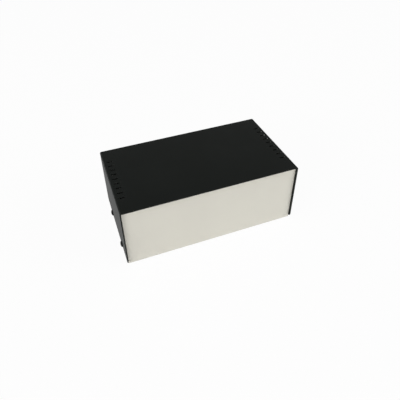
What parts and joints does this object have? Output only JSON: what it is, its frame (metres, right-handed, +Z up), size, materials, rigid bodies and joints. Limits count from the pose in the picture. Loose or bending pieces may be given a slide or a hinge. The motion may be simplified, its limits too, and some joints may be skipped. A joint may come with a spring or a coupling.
{
  "type": "metal project box",
  "caption": "Folded sheet metal project box: plain off-white chassis under a black cover with vent slots at both ends of the top, closed by screws low on the sides.",
  "frame": {"origin": "middle of the underside, on the surface that the box stands on", "axes": "+X along the front panel, to the right seen from the front; +Y from the front panel to the rear panel; +Z up"},
  "size_m": [0.1632, 0.088, 0.0622],
  "materials": {
    "cover_paint": "satin black paint",
    "chassis_paint": "smooth off-white enamel",
    "screw_black": "black plated steel, semi-gloss"
  },
  "bodies": {
    "root": {"cover": "cover_paint", "chassis": "chassis_paint", "screw_left_front": "screw_black", "screw_left_rear": "screw_black", "screw_right_front": "screw_black", "screw_right_rear": "screw_black"}
  },
  "joints": []
}
